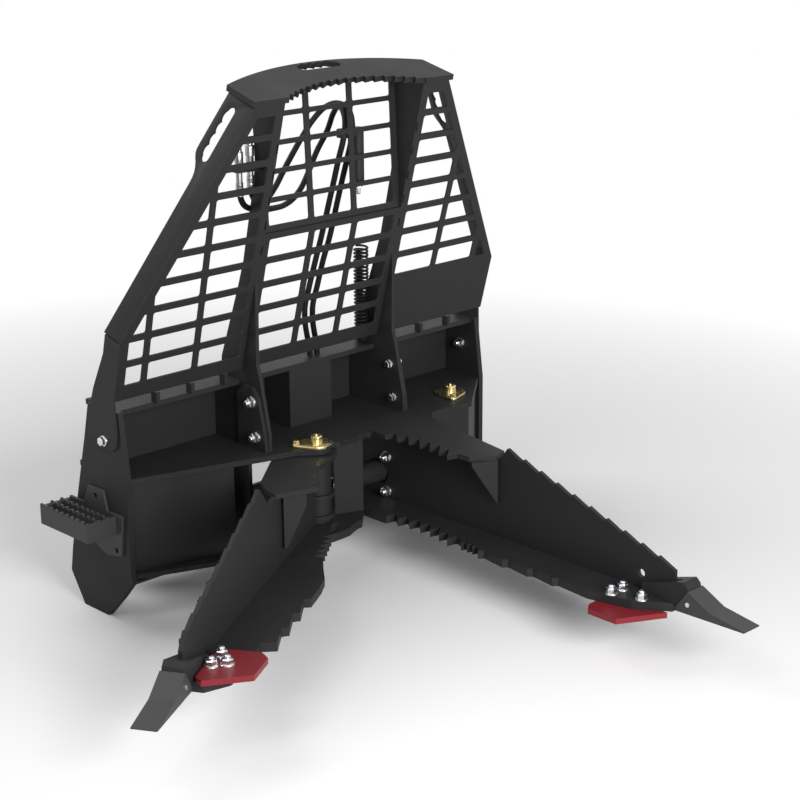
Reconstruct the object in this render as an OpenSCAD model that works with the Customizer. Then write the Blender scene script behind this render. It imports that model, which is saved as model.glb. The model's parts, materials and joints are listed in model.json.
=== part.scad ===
// Tree puller for a skid-steer loader, in millimetres, +Z up.
// The origin is the centre of the coupler's seat face, and the jaws reach along -Y.

/* [Frame] */
// Distance between the side plates' inner faces
frame_w = 1438; // [1390:2:1470]
// Thickness of the side plates
side_t = 18; // [12:1:25]
// Height of the deck's top above the coupler's centre
deck_z = 84; // [74:1:94]
// Thickness of the deck plate
deck_t = 16; // [12:1:20]
// Height of the wall between the deck and the shelf
wall_h = 184; // [170:1:200]
// Thickness of the shelf plate
shelf_t = 16; // [12:1:20]
// Thickness of walls, panels and ribs
plate_t = 12; // [10:1:16]
// Height of the ground below the coupler's centre
ground_drop = 369; // [350:1:385]

/* [Coupler] */
// Width of the seat plate
coupler_w = 1145; // [1120:5:1160]
// Height of the seat plate
coupler_h = 457; // [440:1:470]
// Thickness of the seat plate
coupler_t = 12.7; // [10:0.1:16]
// Depth of the top hook behind the seat
hook_reach = 38; // [30:1:45]
// Distance of each lock slot from the centre
lock_x = 419; // [380:1:450]
// Width of a lock slot
lock_w = 57; // [45:1:70]
// Length of a lock slot, front to back
lock_l = 27; // [22:1:32]

/* [Jaws] */
// Clear height between the deck and the fixed lower plate
jaw_h = 248.6; // [240:0.1:256]
// Thickness of the lower jaw plates
jaw_t = 25.4; // [20:0.1:30]
// Thickness of the moving jaw's upper plate
upper_t = 14; // [10:1:16]
// Thickness of the serrated webs
web_t = 12.7; // [10:0.1:16]
// Running gap between a moving plate and a fixed one
run_gap = 1.6; // [1:0.1:2.5]
// Opening angle of the moving jaw
open_a = 58.7; // [40:0.1:60]
// Distance from one saw tooth to the next
saw_pitch = 64; // [58:0.5:66]
// Number of saw teeth on a web
saw_n = 10; // [8:1:10]
// Depth of a saw tooth's back edge
saw_cut = 28; // [22:1:32]
// Distance from one stair tooth to the next
stair_pitch = 44.5; // [40:0.5:46]
// Depth of the stair teeth
stair_cut = 35; // [20:1:40]
// Thickness of the cutting blades
blade_t = 16; // [10:1:20]
// Width of the digging teeth
tooth_w = 68; // [56:1:76]

/* [Pivot] */
// Diameter of the pivot and cylinder pins
pin_d = 38; // [30:1:42]
// Clearance of a pin in its turning bore, on the diameter
pin_play = 0.6; // [0.4:0.1:1]
// Outer diameter of the hub tube
hub_d = 86; // [80:1:92]
// Radius of the round end of a pin's flag
flag_r = 44; // [38:1:48]
// Thickness of a pin's flag
flag_t = 10; // [6:1:12]

/* [Cylinder] */
// Outer diameter of the cylinder barrel
barrel_d = 74; // [64:1:76]
// Diameter of the cylinder rod
rod_d = 38; // [30:1:44]
// Radius from the jaw pivot to the rod pin
lever_r = 100; // [90:1:105]
// Height of the cylinder axis
cylinder_z = -102; // [-105:0.5:-99]
// Diameter of the rod pin
rod_pin_d = 32; // [26:1:34]

/* [Guard] */
// Half width of the guard at its elbows
guard_x = 750; // [745:1:760]
// Half width of the guard at its top
guard_top_x = 377; // [365:1:395]
// Length of the guard from elbow to top, up the slope
guard_rise = 657.5; // [645:0.5:665]
// Lean of the guard toward the jaws
guard_lean = 14.8; // [9:0.1:18]
// Thickness of the guard sheet
sheet_t = 6.4; // [4:0.1:8]
// Height of a grille hole
hole_h = 59; // [50:1:62]
// Distance from one grille row to the next
row_pitch = 79; // [72:0.5:82]
// Width of a grille bar
bar_w = 19.5; // [15:0.5:24]
// Distance of the rib's middle from the centre
rib_x = 277; // [270:1:284]

/* [Fasteners and hoses] */
// Diameter of the frame bolts
bolt_d = 16; // [12:1:18]
// Outer diameter of the hydraulic hoses
hose_d = 18; // [14:1:22]

/* [Hidden] */
$fn = 48;

// Heights of the stacked plates, from the deck downward
half_w = frame_w / 2;
deck_under = deck_z - deck_t;
low_top = deck_under - jaw_h;
low_under = low_top - jaw_t;
swing_under = low_top + run_gap;
swing_top = swing_under + jaw_t;
upper_top = deck_under - run_gap;
upper_under = upper_top - upper_t;
shelf_under = deck_z + wall_h;
shelf_top = shelf_under + shelf_t;
ground = -ground_drop;

// Plan places of the pivot, the cylinder's base pin and the frame's lines
pivot = [-140, -408];
base = [512, -332];
wall_y = -107;
front_y = -260;
web_x = 191.4;
weld_gap = 0.05;

// Outer points of the plates, in plan or in side view, chosen by hand
stair_y = -487;
stair_n = 7;
ledge_t = 14;
side_points = [
    [-241, 284], [-266, 84], [-266, -204], [-274, -226], [-216, -292], [-140, -369],
    [-22, -369], [40, -275], [27, -204], [-9, -48], [-72, 185], [-96, 284]
];
lean_up = [0, -sin(guard_lean), cos(guard_lean)];
lean_back = [0, cos(guard_lean), sin(guard_lean)];
elbow = [0, -290, 500];

// Guard places measured up the slope from the elbow
guard_low = -187;
guard_low_x = 748;
seam_s = 253.5;
row_first = 16;
recess_tilt = 17.4;
recess_d = 8;
rib_in = rib_x - plate_t / 2;
rib_out = rib_x + plate_t / 2;
edge_angle = atan2(guard_rise, guard_top_x - guard_x);
edge_len = norm([guard_rise, guard_x - guard_top_x]);
flange_low_d = 72;
flange_top_d = 129;
top_t = 17;

// The rod pin's place on the jaw, and where it stands with the jaw open
lever_a = 90 + 29.5;
rod_pin = lever_r * [cos(lever_a), sin(lever_a)];
rod_pin_open = pivot + lever_r * [cos(lever_a - open_a), sin(lever_a - open_a)];
cyl_dir = rod_pin_open + [0, 7] - base;
cyl_len = norm(cyl_dir);
cyl_a = atan2(cyl_dir[1], cyl_dir[0]);
barrel_r = barrel_d / 2;
eye_h = 50;
lug_gap = 2;
lug_t = 16;
lever_t = 12;
lever_up = cylinder_z + eye_h / 2 + lug_gap;
lever_down = cylinder_z - eye_h / 2 - lug_gap - lever_t;
eye_play = 19;

// Digging teeth, measured back from the tip and up from the jaw plate's top
fixed_tip = [web_x + web_t / 2, -1783];
moving_tip = [-2, -1399];
tooth_back = 240;

function stair_tip(i) = let (y = stair_y - i * stair_pitch) [89 - 0.001 * (y + 620) * (y + 620), y];
function at_slope(s, d) = [elbow[1] + s * lean_up[1] + d * lean_back[1],
                           elbow[2] + s * lean_up[2] + d * lean_back[2]];
function edge_x(s) = s < 0 ? guard_x + (guard_x - guard_low_x) * s / -guard_low
                           : guard_x - (guard_x - guard_top_x) * s / guard_rise;
function row_s(k) = row_first + row_pitch * k;
function saw_peak(p, i, drop) = p + [-saw_pitch * i, -drop * i];

// A corner of a hole rounded to radius r, where a and c are the corner's neighbours
function rounded_corner(a, b, c, r) =
    let (u = (a - b) / norm(a - b), v = (c - b) / norm(c - b),
         half = acos(u * v) / 2, m = (u + v) / norm(u + v),
         o = b + m * r / sin(half), start = b + u * r / tan(half) - o,
         turn = (v[0] * u[1] - v[1] * u[0] > 0 ? 1 : -1) * (180 - 2 * half))
    [for (t = [0:0.5:1]) o + [start[0] * cos(turn * t) - start[1] * sin(turn * t),
                              start[0] * sin(turn * t) + start[1] * cos(turn * t)]];
function rounded(points, r) = [for (i = [0:len(points) - 1])
    each rounded_corner(points[(i + len(points) - 1) % len(points)], points[i],
                        points[(i + 1) % len(points)], r)];

module upright(x, t) {
    translate([x, 0, 0]) rotate([90, 0, 90]) linear_extrude(t) children();
}

module flat(z, t) {
    translate([0, 0, z]) linear_extrude(t) children();
}

module both_sides() {
    children();
    mirror([1, 0, 0]) children();
}

module on_guard() {
    translate(elbow) rotate([90 + guard_lean, 0, 0]) children();
}

module on_jaw() {
    translate(pivot) rotate([0, 0, -open_a]) children();
}

module drop_link(r1, r2, d, a) {
    side = acos((r1 - r2) / d);
    rotate(a) {
        circle(r1);
        translate([d, 0]) circle(r2);
        polygon([[r1 * cos(side), r1 * sin(side)], [d + r2 * cos(side), r2 * sin(side)],
                 [d + r2 * cos(side), -r2 * sin(side)], [r1 * cos(side), -r1 * sin(side)]]);
    }
}

module hex_bolt(d, grip) {
    cylinder(h = 0.6 * d, d = 1.73 * d, $fn = 6);
    translate([0, 0, -3]) cylinder(h = 3, d = 2 * d);
    translate([0, 0, -grip - 3]) cylinder(h = grip, d = d);
    translate([0, 0, -grip - 3 - 0.8 * d]) cylinder(h = 0.8 * d, d = 1.73 * d, $fn = 6);
}

// Deck and the walls around it
module deck_plan() {
    difference() {
        union() {
            polygon(concat(
                [[-half_w, -coupler_t], [-half_w, front_y], [-319, -379], [-217, -405],
                 [pivot[0] - 36, pivot[1] - 32], [pivot[0] + 46, pivot[1] - 14]],
                [for (x = [-73:31:51]) each [[x, -439], [x + 23, -427]]],
                [[73, -444]],
                [for (i = [0:stair_n - 1])
                    each [stair_tip(i), stair_tip(i) + [stair_cut, -8]]],
                [[109, -808], [175, -858], [222, -846], [290, -480], [310, -450], [342, -425],
                 [505, -438], [half_w, front_y], [half_w, -coupler_t]]));
            translate(pivot) circle(flag_r + 4);
        }
        translate(pivot) circle(d = pin_d + pin_play);
        translate(base) circle(d = pin_d + pin_play);
    }
}

module deck_plate() {
    color("dimgray") flat(deck_under, deck_t) deck_plan();
}

module rear_wall() {
    color("dimgray") translate([-half_w, wall_y, deck_z]) cube([frame_w, plate_t, wall_h]);
}

module shelf_plate() {
    color("dimgray") translate([-half_w, -227, shelf_under]) cube([frame_w, 167, shelf_t]);
}

module shelf_tabs() {
    low = at_slope(guard_low, 0);
    color("dimgray") both_sides() for (x = [344, 469, 595]) {
        upright(x - plate_t / 2, plate_t) polygon([
            [low[0] - 2, shelf_top], [low[0] + 24, shelf_top], [low[0] + 24, low[1] - 12],
            [low[0] + 60, low[1] - 12], [low[0] + 60, low[1] - 2 - 6],
            [low[0] - 2, low[1] - 2 - 6 + 5]]);
    }
}

module centre_plate() {
    front = -228;
    color("dimgray") flat(deck_z, wall_h) difference() {
        translate([-86, front]) square([172, wall_y - front]);
        translate([-86 + plate_t, front + plate_t]) square([172 - 2 * plate_t, wall_y - front]);
    }
}

module side_plate() {
    upright(half_w, side_t) difference() {
        polygon(side_points);
        translate(skirt_bolt) circle(d = bolt_d + 1);
        translate([-118, 6]) circle(d = bolt_d + 1);
        translate([-211, -140]) circle(d = bolt_d);
    }
}

module side_plate_left() {
    color("dimgray") mirror([1, 0, 0]) side_plate();
}

module side_plate_right() {
    color("dimgray") side_plate();
}

module cross_plate() {
    color("dimgray") both_sides() intersection() {
        upright(380, half_w - 380) polygon([[-274, -226], [-216, -292], [-207, -284], [-258, -225.1]]);
        translate([0, -1000, 0]) rotate([-90, 0, 0]) linear_extrude(2000)
            polygon([[380, 150], [430, 240], [half_w, 240], [half_w, 150]]);
    }
}

module left_panel() {
    color("dimgray") flat(low_under, deck_under - low_under)
        polygon([[-half_w, -248], [-407, -343], [-407, -190], [-407 - plate_t, -190],
                 [-407 - plate_t, -327], [-half_w, -235]]);
}

module left_ledge() {
    color("dimgray") flat(low_under - ledge_t, ledge_t)
        polygon([[-half_w, -274], [-500, -355], [-407, -343], [-407, -190], [-half_w, -190]]);
}

module right_panel() {
    color("dimgray") flat(low_top, jaw_h) difference() {
        polygon([[302, -420], [332, -420], [502, -427], [half_w, -250], [half_w, -237],
                 [500, -415], [302, -408]]);
    }
}

module cylinder_lug() {
    color("dimgray") flat(cylinder_z - eye_h / 2 - lug_gap - lug_t, lug_t) difference() {
        polygon([[484, -414.4], [500, -415], [612, -323.4], [612, -262], [484, -262]]);
        translate(base) circle(d = pin_d + pin_play);
    }
}

// Coupler for a skid-steer quick attach
module coupler_plate() {
    color("dimgray") rotate([90, 0, 0]) linear_extrude(coupler_t) difference() {
        square([coupler_w, coupler_h], center = true);
        translate([-260, -165]) square([520, 135]);
    }
}

module coupler_hook() {
    top = coupler_h / 2;
    color("dimgray") upright(-coupler_w / 2, coupler_w) polygon([
        [-coupler_t, top], [3, top], [hook_reach, top - hook_reach + 9],
        [hook_reach + 8, top - hook_reach + 18], [4, top + 14], [-coupler_t, top + 14]]);
}

module coupler_foot() {
    low = -coupler_h / 2;
    color("dimgray") translate([0, 0, low - coupler_t]) linear_extrude(coupler_t) difference() {
        translate([-coupler_w / 2, -coupler_t]) square([coupler_w, 62]);
        for (x = [-lock_x, lock_x]) translate([x, 10 + lock_l / 2]) {
            square([lock_w - lock_l, lock_l], center = true);
            for (end = [-1, 1]) translate([end * (lock_w - lock_l) / 2, 0]) circle(d = lock_l);
        }
    }
}

module coupler_gussets() {
    color("dimgray") for (x = [-500, -180, 168, 488]) upright(x, plate_t)
        polygon([[wall_y + plate_t, deck_z], [-coupler_t, deck_z], [-coupler_t, 210],
                 [wall_y + plate_t, shelf_under]]);
}

module floor_gussets() {
    color("dimgray") for (x = [-500, 488]) upright(x, plate_t)
        polygon([[-coupler_t, deck_under], [-190, deck_under], [-190, 0], [-60, -215],
                 [-coupler_t, -215]]);
}

// Fixed jaw
module fixed_jaw_plan() {
    difference() {
        union() {
            translate(pivot) circle(76);
            polygon(concat(
                [[-209, -273], [pivot[0] - 62, pivot[1] - 40], [-134, -486], [-79, -484],
                 [-26, -460], [-1, -456], [71, -388], [71, -444]],
                [for (i = [0:stair_n - 1])
                    each [stair_tip(i), stair_tip(i) + [stair_cut, -8]]],
                [[98, -788]],
                [for (y = [-807, -832, -854]) each [[76, y], [94, y - 6]]],
                [for (i = [0:3]) each [[67, -887 - 98 * i], [80, -899 - 98 * i]]],
                [[76, -1239], [70, -1311], [102, -1444], [168, -1536], [219, -1536],
                 [249, -1466]],
                [for (i = [4:-1:0])
                    let (x = 354 - 21.7 * i, y = -893 - 126 * i)
                    each [[x - 25, y - 40], [x, y - 27], [x - 10, y - 14], [x, y], [x - 22, y + 12]]],
                [[333, -708], [317, -475], [319, -222], [-209, -222]]));
        }
        translate(pivot) circle(d = pin_d + pin_play);
        for (p = fixed_blade_holes) translate(p) circle(d = bolt_d + 1);
    }
}

module fixed_jaw_plate() {
    color("dimgray") flat(low_under, jaw_t) fixed_jaw_plan();
}

module fixed_jaw_web() {
    first = [-885, 107];
    drop = 19.5;
    color("dimgray") upright(web_x, web_t) difference() {
        polygon(concat(
            [[-240, low_top], [-240, deck_under], [-858, deck_under]],
            [for (i = [0:saw_n - 1]) each [saw_peak(first, i, drop),
                saw_peak(first, i, drop) + [-saw_pitch + 4, -saw_cut]]],
            [[-1521, -112], [-1521, -125], [-1398, low_top]]));
        translate([-1404, -136]) circle(d = 25);
        for (z = web_bolts_z) translate([-368, z]) circle(d = bolt_d + 1);
        translate([-318, cylinder_z]) circle(r = barrel_r + 3);
        translate([-331, cylinder_z - barrel_r - 3]) square([12, 2 * barrel_r + 6]);
        translate([-331, cylinder_z]) circle(r = barrel_r + 3);
    }
}

module fixed_jaw_gusset() {
    a = [web_x, -854];
    b = [108, -808];
    turn = atan2(b[1] - a[1], b[0] - a[0]);
    color("dimgray") translate([a[0], a[1], 0]) rotate([0, 0, turn]) rotate([90, 0, 0])
        translate([0, 0, -plate_t]) linear_extrude(plate_t)
        polygon([[8, deck_under], [norm(b - a) - 6, deck_under], [norm(b - a) - 6, deck_under - 12],
                 [8, -71]]);
}

module vertex_plate() {
    a = [-32, -366];
    b = [57, -401];
    color("dimgray") translate([a[0], a[1], 0]) rotate([0, 0, atan2(b[1] - a[1], b[0] - a[0])])
        rotate([90, 0, 0]) translate([0, 0, -plate_t]) linear_extrude(plate_t)
        translate([0, low_top]) square([norm(b - a), jaw_h]);
}

module blade(points) {
    linear_extrude(blade_t) polygon(points);
}

module fixed_blade() {
    color("firebrick") translate([0, 0, low_under - blade_t]) difference() {
        blade([[45, -1337], [20, -1355], [19, -1457], [153, -1530], [162, -1379], [134, -1332]]);
        for (p = fixed_blade_holes) translate(p) translate([0, 0, -1]) cylinder(h = blade_t + 2, d = bolt_d + 1);
    }
}

web_bolts_z = [-44, -160];
fixed_blade_holes = [[148, -1374], [103, -1370], [131, -1456]];
moving_blade_holes = [[58, 1019], [52, 1080], [89, 1062]];

module fixed_blade_bolts() {
    color("silver") for (p = fixed_blade_holes)
        translate([p[0], p[1], low_top + 3]) hex_bolt(bolt_d, jaw_t + blade_t);
}

// Digging tooth, its tip at the origin and the jaw plate's top at zero
module tooth_shank_shape() {
    difference() {
        translate([-tooth_w / 2 + 4, 0, 0]) rotate([90, 0, 90]) linear_extrude(tooth_w - 8)
            polygon([[358, 0], [358, 28], [214, 72], [200, 60], [196, 46], [140, 14], [150, 4], [232, 0]]);
        translate([-web_t / 2 - weld_gap, tooth_back, -1]) cube([web_t + 2 * weld_gap, 200, 200]);
        translate([-50, 192, 14]) rotate([0, 90, 0]) cylinder(h = 100, d = 14);
    }
}

module tooth_shape() {
    difference() {
        translate([-tooth_w / 2, 0, 0]) rotate([90, 0, 90]) linear_extrude(tooth_w)
            polygon([[232, -16], [232, -1], [202, 40], [195, 50.6], [118, 10.6], [0, -8], [2, -12]]);
        translate([-tooth_w / 2 + 3.5, 0, 0]) rotate([90, 0, 90]) linear_extrude(tooth_w - 7)
            polygon([[240, -0.5], [150, -0.5 + 4], [139, 14], [196, 47], [201, 61], [240, 70]]);
        translate([-50, 192, 14]) rotate([0, 90, 0]) cylinder(h = 100, d = 14);
    }
}

module tooth_pin_shape() {
    translate([-tooth_w / 2 - 4, 192, 14]) rotate([0, 90, 0]) cylinder(h = tooth_w + 8, d = 13.6);
}

module at_fixed_tip() {
    translate([fixed_tip[0], fixed_tip[1], low_top]) children();
}

module at_moving_tip() {
    on_jaw() translate([moving_tip[0], moving_tip[1], swing_top]) children();
}

module fixed_tooth_shank() {
    color("dimgray") at_fixed_tip() tooth_shank_shape();
}

module fixed_tooth() {
    color("black") at_fixed_tip() tooth_shape();
}

module fixed_tooth_pin() {
    color("silver") at_fixed_tip() tooth_pin_shape();
}

module frame_bolts() {
    color("silver") {
        for (z = web_bolts_z) translate([web_x - 3, -368, z]) rotate([0, -90, 0]) hex_bolt(bolt_d, web_t);
        for (p = [pivot + 62 * [cos(150), sin(150)], base + 64 * [cos(127), -sin(127)]])
            translate([p[0], p[1], deck_z + flag_t]) cylinder(h = 8, d = 19, $fn = 6);
        both_sides() {
            translate([half_w + side_t + sheet_t + 5.9, skirt_bolt[0], skirt_bolt[1]])
                rotate([0, 90, 0]) hex_bolt(bolt_d, side_t + sheet_t + 3);
            for (p = bracket_bolts) translate([rib_out + plate_t + 3, p[0], p[1]])
                rotate([0, 90, 0]) hex_bolt(bolt_d, 2 * plate_t);
        }
    }
}

// Pins that the jaw and the cylinder turn on
module flagged_pin(low, turn, reach) {
    translate([0, 0, low]) cylinder(h = deck_z + flag_t + 18 - low, d = pin_d);
    translate([0, 0, deck_z]) linear_extrude(flag_t) difference() {
        drop_link(flag_r, 14, reach, turn);
        rotate(turn) translate([reach, 0]) circle(d = 13);
    }
}

module pivot_pin() {
    color("goldenrod") translate(pivot) flagged_pin(low_under - 14, 150, 62);
}

module base_pin() {
    color("goldenrod") translate(base) flagged_pin(cylinder_z - eye_h / 2 - 30, -127, 64);
}

// Moving jaw, drawn closed: inner side toward +X and tip toward -Y
module moving_jaw_plan() {
    difference() {
        union() {
            circle(hub_d / 2 + 18);
            polygon(concat(
                [[0, -60], [52, -18], [66, -96], [88, -104]],
                [for (i = [1:5]) each [[57 + 4 * i, -99 - 38 * i], [81 + 5 * i, -106 - 38 * i]]],
                [[135, -383], [154, -435], [161, -496], [161, -587]],
                [for (i = [0:2]) each [[142, -595 - 98 * i], [160, -682 - 98 * i]]],
                [[119, -893], [126, -975], [109, -1097], [57, -1152], [-29, -1150]],
                [for (i = [4:-1:0])
                    let (x = -159 + 21 * i, y = -514 - 125 * i)
                    each [[x + 25, y - 40], [x - 3, y - 27], [x + 9, y - 14], [x, y], [x + 24, y + 12]]],
                [[-140, -305], [-113, -116], [-68, 0]]));
        }
        circle(d = pin_d + pin_play);
        for (p = moving_blade_holes) translate([p[0], -p[1]]) circle(d = bolt_d + 1);
    }
}

module moving_jaw_plate() {
    color("dimgray") on_jaw() flat(swing_under, jaw_t) moving_jaw_plan();
}

module moving_top_plate() {
    color("dimgray") on_jaw() flat(upper_under, upper_t) difference() {
        union() {
            circle(hub_d / 2 + 18);
            polygon(concat(
                [[-62, 0], [-104, -122], [-74, -309], [-40, -360], [-1, -392], [100, -303]],
                [for (i = [0:3]) each [[59 - 12 * i, -277 + 46.5 * i],
                                       [84 - 12 * i, -268 + 46.5 * i]]],
                [[64, -60], [64, 0]]));
        }
        circle(d = pin_d + pin_play);
    }
}

module moving_jaw_web() {
    first = [-537, 135];
    drop = 18.5;
    end_x = moving_tip[1] + tooth_back + 11;
    color("dimgray") on_jaw() upright(moving_tip[0] - web_t / 2, web_t) difference() {
        polygon(concat(
            [[-hub_d / 2 - 1, swing_top], [-hub_d / 2 - 1, upper_under], [-392, upper_under],
             [-402, 64], [-466, 62]],
            [for (i = [0:saw_n - 2]) each [saw_peak(first, i, drop),
                saw_peak(first, i, drop) + [-saw_pitch + 4, -saw_cut]]],
            [saw_peak(first, saw_n - 1, drop), [end_x, -73], [end_x, -96], [-1017, swing_top]]));
        for (z = [lever_up, lever_down])
            translate([-hub_d / 2 - 12, z - 1]) square([40, lever_t + 2]);
    }
}

module moving_jaw_gusset() {
    a = [moving_tip[0] + web_t / 2, -375];
    b = [94, -300];
    color("dimgray") on_jaw() translate([a[0], a[1], 0])
        rotate([0, 0, atan2(b[1] - a[1], b[0] - a[0])]) rotate([90, 0, 0])
        translate([0, 0, -plate_t]) linear_extrude(plate_t)
        polygon([[13, upper_under], [84, upper_under], [84, 14], [24, -105], [13, -105]]);
}

module hub_tube() {
    color("dimgray") translate([pivot[0], pivot[1], swing_top]) difference() {
        cylinder(h = upper_under - swing_top, d = hub_d);
        translate([0, 0, -1]) cylinder(h = upper_under - swing_top + 2, d = pin_d + pin_play);
    }
}

module lever_plates() {
    color("dimgray") on_jaw() for (z = [lever_up, lever_down]) flat(z, lever_t) difference() {
        drop_link(hub_d / 2 + 10, 32, lever_r, lever_a);
        circle(d = hub_d + 0.2);
        translate(rod_pin) circle(d = rod_pin_d + 0.2);
    }
}

module rod_pin() {
    low = lever_down - 8;
    color("goldenrod") on_jaw() translate([rod_pin[0], rod_pin[1], low]) {
        cylinder(h = lever_up + lever_t + 6 - low, d = rod_pin_d);
        translate([0, 0, lever_up + lever_t - low]) cylinder(h = 6, d = rod_pin_d + 12);
    }
}

module moving_blade() {
    color("firebrick") on_jaw() translate([0, 0, swing_top]) difference() {
        blade([[150, -975], [177, -1004], [175, -1107], [58, -1169], [35, -1150], [30, -1004],
               [63, -978]]);
        for (p = moving_blade_holes) translate([p[0], -p[1], -1]) cylinder(h = blade_t + 2, d = bolt_d + 1);
    }
}

module moving_blade_bolts() {
    color("silver") on_jaw() for (p = moving_blade_holes)
        translate([p[0], -p[1], swing_top + blade_t + 3]) hex_bolt(bolt_d, jaw_t + blade_t);
}

module moving_tooth_shank() {
    color("dimgray") at_moving_tip() tooth_shank_shape();
}

module moving_tooth() {
    color("black") at_moving_tip() tooth_shape();
}

module moving_tooth_pin() {
    color("silver") at_moving_tip() tooth_pin_shape();
}

// Hydraulic cylinder, drawn along +X from its base pin
module on_cylinder() {
    translate([base[0], base[1], cylinder_z]) rotate([0, 0, cyl_a]) rotate([0, 90, 0]) children();
}

module cylinder_barrel() {
    bore = barrel_d - 11;
    color("dimgray") on_cylinder() difference() {
        union() {
            translate([0, 0, 30]) cylinder(h = barrel_end - 30, d = barrel_d);
            rotate([0, 90, 0]) translate([0, 0, -eye_h / 2]) cylinder(h = eye_h, d = 72);
            for (x = [78, barrel_end - 28]) translate([0, 0, x]) rotate([0, -90, 0])
                cylinder(h = barrel_r + 12, d = 26);
        }
        translate([0, 0, 60]) cylinder(h = barrel_end - 60 - 34, d = bore);
        translate([0, 0, 60]) cylinder(h = barrel_end, d = rod_d + 0.6);
        rotate([0, 90, 0]) cylinder(h = 100, d = pin_d + pin_play, center = true);
    }
}

module cylinder_rod() {
    bore = barrel_d - 11;
    color("silver") on_cylinder() difference() {
        union() {
            translate([0, 0, piston_at]) cylinder(h = cyl_len - piston_at - 30, d = rod_d);
            translate([0, 0, piston_at]) cylinder(h = 34, d = bore - 0.8);
            translate([0, 0, cyl_len]) rotate([0, 90, 0]) translate([0, 0, -eye_h / 2])
                cylinder(h = eye_h, d = rod_pin_d + eye_play + 22);
        }
        translate([0, 0, cyl_len]) rotate([0, 90, 0]) cylinder(h = 100, d = rod_pin_d + eye_play, center = true);
    }
}

barrel_end = 470;
piston_at = 300;

// Guard
module sheet() {
    translate([0, 0, -sheet_t]) linear_extrude(sheet_t) children();
}

module grille_hole(x0, x1, k, lean) {
    low = row_s(k);
    high = low + hole_h;
    polygon(rounded([[x0 + lean * low, low], [x1 + lean * low, low],
                     [x1 + lean * high, high], [x0 + lean * high, high]], 6));
}

module wing_holes(first) {
    inner = 300;
    bars = [471, 653];
    margin = 34;
    intersection() {
        polygon([[inner, guard_low + 34], [guard_low_x - 30, guard_low + 34], [guard_x - 31, 0],
                 [edge_x(guard_rise - 36) - margin, guard_rise - 36], [inner, guard_rise - 36]]);
        for (k = [first:7]) {
            polygon(rounded([[inner, row_s(k)], [bars[0] - bar_w / 2 + 0.025 * row_s(k), row_s(k)],
                [bars[0] - bar_w / 2 + 0.025 * (row_s(k) + hole_h), row_s(k) + hole_h],
                [inner, row_s(k) + hole_h]], 6));
            grille_hole(bars[0] + bar_w / 2, bars[1] - bar_w / 2, k, 0.025);
            if (k < 1) grille_hole(bars[1] + bar_w / 2, guard_x + 20, k, 0.025);
        }
    }
}

module wing(first) {
    on_guard() sheet() difference() {
        polygon([[rib_out, guard_low], [guard_low_x, guard_low], [guard_x, 0],
                 [guard_top_x, guard_rise], [rib_in, guard_rise], [rib_in, 100], [rib_out, 100]]);
        wing_holes(first);
        for (k = [2:6]) translate([rib_in + 2, row_s(k) + 14]) square([5, 28]);
    }
}

module guard_wing_left() {
    color("dimgray") mirror([1, 0, 0]) wing(-2);
}

module guard_wing_right() {
    color("dimgray") wing(0);
}

module guard_centre() {
    inner = 85.5;
    color("dimgray") on_guard() sheet() difference() {
        translate([-rib_in, guard_low]) square([2 * rib_in, seam_s - guard_low]);
        for (k = [-2:2]) {
            grille_hole(-250, -inner - bar_w / 2, k, 0);
            grille_hole(-inner + bar_w / 2, inner - bar_w / 2, k, 0);
            grille_hole(inner + bar_w / 2, 250, k, 0);
        }
    }
}

module recess_panel() {
    rise = (guard_rise - seam_s) / cos(recess_tilt) - 3;
    pitch = 81;
    hole = 66;
    inner = 85.5;
    color("dimgray") on_guard() translate([0, seam_s, -sheet_t]) rotate([-recess_tilt, 0, 0])
        sheet() difference() {
            translate([-rib_in, 0]) square([2 * rib_in, rise]);
            for (k = [0:4], x = [[-250, -inner - bar_w / 2], [-inner + bar_w / 2, inner - bar_w / 2],
                                 [inner + bar_w / 2, 250]])
                polygon(rounded([[x[0], 18 + pitch * k], [x[1], 18 + pitch * k],
                                 [x[1], 18 + pitch * k + hole], [x[0], 18 + pitch * k + hole]], 6));
        }
}

module rib() {
    upright(rib_in, plate_t) difference() {
        polygon(concat(
            [[-359, deck_z], [-358, 135], [-322, 306], [-310, 345]],
            [at_slope(100 - weld_gap, 0), at_slope(100 - weld_gap, sheet_t + weld_gap),
             at_slope(guard_rise - weld_gap, sheet_t + weld_gap),
             at_slope(guard_rise - weld_gap, 150), at_slope(510, 94), at_slope(443, 75), at_slope(368, 69),
             at_slope(142, 64), at_slope(62, 70), at_slope(guard_low, 97)],
            [[-140, shelf_top], [wall_y, shelf_top], [wall_y, deck_z]]));
        translate([-227, shelf_under]) square([187, shelf_t]);
        for (p = bracket_bolts) translate(p) circle(d = bolt_d + 1);
    }
}

bracket_bolts = [[-297, 230], [-313, 123]];
skirt_bolt = [-176, 188];

module guard_rib_left() {
    color("dimgray") mirror([1, 0, 0]) rib();
}

module guard_rib_right() {
    color("dimgray") rib();
}

module rib_brackets() {
    color("dimgray") both_sides() upright(rib_out, plate_t) difference() {
        union() {
            polygon([[-357, deck_z], [-351, 138], [-325, 248], [-299, 275], [-259, 275], [-229, 250],
                     [-229, deck_z]]);
        }
        for (p = bracket_bolts) translate(p) circle(d = bolt_d + 1);
    }
}

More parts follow.
